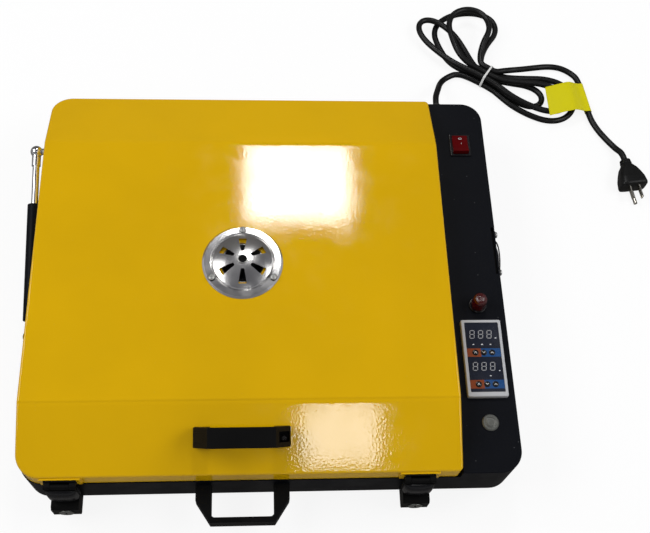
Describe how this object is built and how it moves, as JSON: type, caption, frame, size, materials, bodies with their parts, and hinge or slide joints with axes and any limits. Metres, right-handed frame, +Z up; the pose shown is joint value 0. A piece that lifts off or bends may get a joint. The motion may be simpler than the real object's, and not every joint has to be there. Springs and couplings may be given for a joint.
{
  "type": "transfer film curing oven",
  "caption": "Low tabletop oven with a vented, hinged lid over a heated chamber, a side control panel with controller and switch, a gas strut, handles and a coiled mains lead.",
  "frame": {"origin": "on the table, under the middle of the oven's outer box without its mains lead", "axes": "+X to the right along the front edge, +Y to the rear where the lid is hinged, +Z up"},
  "size_m": [0.7817, 0.7259, 0.1385],
  "materials": {
    "base_shell": "fine texture, satin",
    "rubber_feet": "matt",
    "bay_partition": "fine texture, satin",
    "control_cover": "fine texture, satin",
    "chamber_liner": "brushed",
    "base_insulation": "mineral wool",
    "heater_tubes": "oxidised",
    "tube_rests": "brushed",
    "film_rack": "brushed",
    "temperature_probe": "brushed",
    "chamber_seal": "silicone",
    "lid_shell": "gloss powder coat, slight orange peel",
    "lid_liner": "brushed",
    "lid_insulation": "mineral wool",
    "hinge_base_leaves": "brushed",
    "hinge_lid_leaves": "brushed",
    "vent_collar": "brushed",
    "strut_base_stud": "brushed",
    "strut_lid_stud": "brushed",
    "strut_tube": "fine texture, satin",
    "strut_rod": "polished",
    "front_handle": "moulded",
    "front_handle_caps": "moulded",
    "lid_handle": "moulded",
    "lid_handle_cap": "moulded",
    "lock_bodies": "moulded",
    "left_lock_cylinder": "polished",
    "right_lock_cylinder": "polished",
    "hasp_mounts": "fine texture, satin",
    "left_hasp": "moulded",
    "right_hasp": "moulded",
    "vent_cover": "polished",
    "vent_shutter": "polished",
    "rocker_housing": "moulded, glossy",
    "rocker_key": "translucent red",
    "lamp_body": "moulded, glossy",
    "lamp_lens": "translucent red",
    "controller_body": "moulded, silver grey",
    "controller_face": "printed film",
    "temperature_set_key": "printed film",
    "temperature_down_key": "printed film",
    "temperature_up_key": "printed film",
    "time_set_key": "printed film",
    "time_down_key": "printed film",
    "time_up_key": "printed film",
    "push_button_body": "polished",
    "push_button_cap": "polished",
    "fan_frame": "moulded",
    "fan_rotor": "moulded",
    "fan_guard": "fine texture, satin",
    "heater_relay": "moulded",
    "base_screws": "brushed",
    "lid_screws": "brushed",
    "cord_gland": "matt",
    "power_cord": "matt",
    "cord_hank": "matt",
    "cord_tie": "moulded",
    "cord_tag": "printed paper",
    "plug_body": "matt",
    "plug_pins": "nickel plated"
  },
  "bodies": {
    "base": {"base_shell": "base_shell", "rubber_feet": "rubber_feet", "bay_partition": "bay_partition", "control_cover": "control_cover", "chamber_liner": "chamber_liner", "base_insulation": "base_insulation", "heater_tubes": "heater_tubes", "tube_rests": "tube_rests", "film_rack": "film_rack", "temperature_probe": "temperature_probe", "chamber_seal": "chamber_seal", "hinge_base_leaves": "hinge_base_leaves", "strut_base_stud": "strut_base_stud", "front_handle": "front_handle", "front_handle_caps": "front_handle_caps", "lock_bodies": "lock_bodies", "rocker_housing": "rocker_housing", "lamp_body": "lamp_body", "lamp_lens": "lamp_lens", "controller_body": "controller_body", "controller_face": "controller_face", "push_button_body": "push_button_body", "fan_frame": "fan_frame", "fan_guard": "fan_guard", "heater_relay": "heater_relay", "base_screws": "base_screws", "cord_gland": "cord_gland", "power_cord": "power_cord", "cord_hank": "cord_hank", "cord_tie": "cord_tie", "cord_tag": "cord_tag", "plug_body": "plug_body", "plug_pins": "plug_pins"},
    "lid": {"lid_shell": "lid_shell", "lid_liner": "lid_liner", "vent_collar": "vent_collar", "lid_insulation": "lid_insulation", "lid_handle": "lid_handle", "lid_handle_cap": "lid_handle_cap", "lid_screws": "lid_screws", "vent_cover": "vent_cover", "hinge_lid_leaves": "hinge_lid_leaves", "strut_lid_stud": "strut_lid_stud", "hasp_mounts": "hasp_mounts"},
    "vent_shutter": {"vent_shutter": "vent_shutter"},
    "left_hasp": {"left_hasp": "left_hasp"},
    "right_hasp": {"right_hasp": "right_hasp"},
    "left_lock_cylinder": {"left_lock_cylinder": "left_lock_cylinder"},
    "right_lock_cylinder": {"right_lock_cylinder": "right_lock_cylinder"},
    "strut_tube": {"strut_tube": "strut_tube"},
    "strut_rod": {"strut_rod": "strut_rod"},
    "rocker_key": {"rocker_key": "rocker_key"},
    "push_button_cap": {"push_button_cap": "push_button_cap"},
    "fan_rotor": {"fan_rotor": "fan_rotor"},
    "temperature_set_key": {"temperature_set_key": "temperature_set_key"},
    "temperature_down_key": {"temperature_down_key": "temperature_down_key"},
    "temperature_up_key": {"temperature_up_key": "temperature_up_key"},
    "time_set_key": {"time_set_key": "time_set_key"},
    "time_down_key": {"time_down_key": "time_down_key"},
    "time_up_key": {"time_up_key": "time_up_key"}
  },
  "joints": [
    {"name": "lid_hinge", "type": "hinge", "parent": "base", "child": "lid", "pos_m": [-0.02425, 0.248, 0.0625], "axis": [-1, 0, 0], "range_deg": [0, 70]},
    {"name": "strut_swing", "type": "hinge", "parent": "base", "child": "strut_tube", "pos_m": [-0.27175, -0.0475, 0.0195], "axis": [1, 0, 0], "range_deg": [0, 8.41]},
    {"name": "strut_stroke", "type": "slide", "parent": "strut_tube", "child": "strut_rod", "axis": [0, 0.9651, 0.262], "range_m": [0, 0.08519]},
    {"name": "vent_turn", "type": "hinge", "parent": "lid", "child": "vent_shutter", "pos_m": [-0.02425, 0.003, 0.11], "axis": [0, 0, 1], "range_deg": [0, 30]},
    {"name": "left_hasp_hinge", "type": "hinge", "parent": "lid", "child": "left_hasp", "pos_m": [-0.21125, -0.2375, 0.077], "axis": [-1, 0, 0], "range_deg": [0, 100]},
    {"name": "left_lock_turn", "type": "hinge", "parent": "base", "child": "left_lock_cylinder", "pos_m": [-0.21125, -0.2525, 0.0275], "axis": [0, 1, 0], "range_deg": [0, 90]},
    {"name": "right_hasp_hinge", "type": "hinge", "parent": "lid", "child": "right_hasp", "pos_m": [0.16275, -0.2375, 0.077], "axis": [-1, 0, 0], "range_deg": [0, 100]},
    {"name": "right_lock_turn", "type": "hinge", "parent": "base", "child": "right_lock_cylinder", "pos_m": [0.16275, -0.2525, 0.0275], "axis": [0, 1, 0], "range_deg": [0, 90]},
    {"name": "rocker_tilt", "type": "hinge", "parent": "base", "child": "rocker_key", "pos_m": [0.24375, 0.18, 0.0785], "axis": [1, 0, 0], "range_deg": [0, 16]},
    {"name": "temperature_set_key_press", "type": "slide", "parent": "base", "child": "temperature_set_key", "axis": [0, 0, -1], "range_m": [0, 0.0005], "stiffness_N_per_m": 1500, "springref_m": -0.0003},
    {"name": "temperature_down_key_press", "type": "slide", "parent": "base", "child": "temperature_down_key", "axis": [0, 0, -1], "range_m": [0, 0.0005], "stiffness_N_per_m": 1500, "springref_m": -0.0003},
    {"name": "temperature_up_key_press", "type": "slide", "parent": "base", "child": "temperature_up_key", "axis": [0, 0, -1], "range_m": [0, 0.0005], "stiffness_N_per_m": 1500, "springref_m": -0.0003},
    {"name": "time_set_key_press", "type": "slide", "parent": "base", "child": "time_set_key", "axis": [0, 0, -1], "range_m": [0, 0.0005], "stiffness_N_per_m": 1500, "springref_m": -0.0003},
    {"name": "time_down_key_press", "type": "slide", "parent": "base", "child": "time_down_key", "axis": [0, 0, -1], "range_m": [0, 0.0005], "stiffness_N_per_m": 1500, "springref_m": -0.0003},
    {"name": "time_up_key_press", "type": "slide", "parent": "base", "child": "time_up_key", "axis": [0, 0, -1], "range_m": [0, 0.0005], "stiffness_N_per_m": 1500, "springref_m": -0.0003},
    {"name": "push_button_press", "type": "slide", "parent": "base", "child": "push_button_cap", "axis": [0, 0, -1], "range_m": [0, 0.0015], "stiffness_N_per_m": 900, "springref_m": -0.001},
    {"name": "fan_spin", "type": "hinge", "parent": "base", "child": "fan_rotor", "pos_m": [0.27325, 0.034, 0.044], "axis": [1, 0, 0], "continuous": true}
  ],
  "couplings": [
    {"joint": "strut_swing", "follows": "lid_hinge", "ratio": 0.12008},
    {"joint": "strut_stroke", "follows": "lid_hinge", "m_per_rad": 0.069725}
  ]
}
